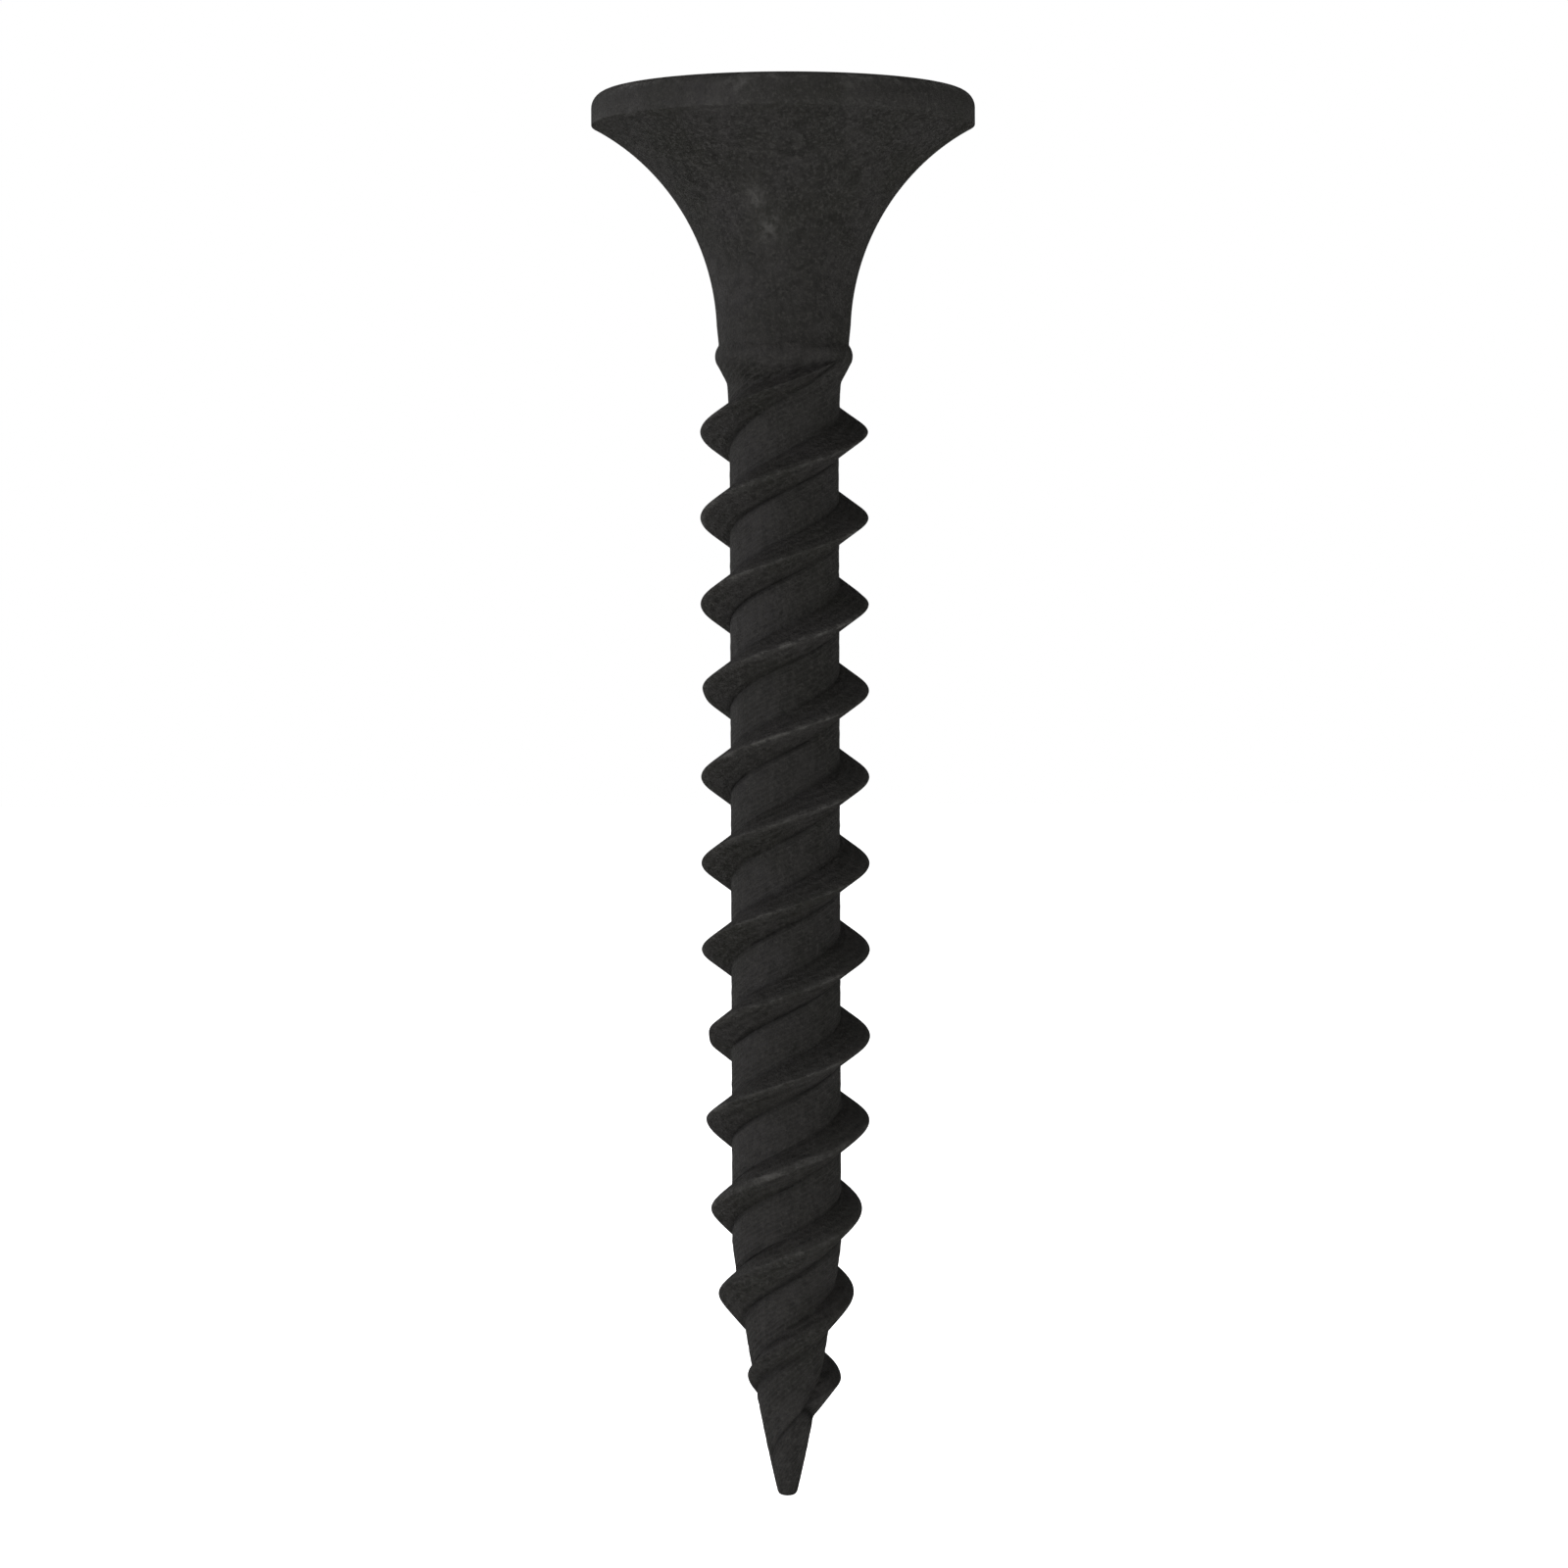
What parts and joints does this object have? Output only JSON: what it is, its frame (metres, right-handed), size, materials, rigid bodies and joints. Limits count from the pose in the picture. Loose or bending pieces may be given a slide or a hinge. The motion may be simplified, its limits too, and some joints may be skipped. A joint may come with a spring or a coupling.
{
  "type": "wood screw",
  "caption": "Countersunk wood screw with a trumpet-shaped head, cross recess, coarse twin-start thread and pinched point, in black phosphated steel.",
  "frame": {"origin": "centre of the flat top of the head, which lies flush with the board's surface when the screw is driven", "axes": "+Z along the screw's axis, out of the board; the screw runs down to its point on -Z; +X along one arm of the cross recess"},
  "size_m": [0.0082, 0.0082, 0.03],
  "materials": {
    "phosphated_steel": "matte"
  },
  "bodies": {
    "root": {"screw": "phosphated_steel"}
  },
  "joints": []
}
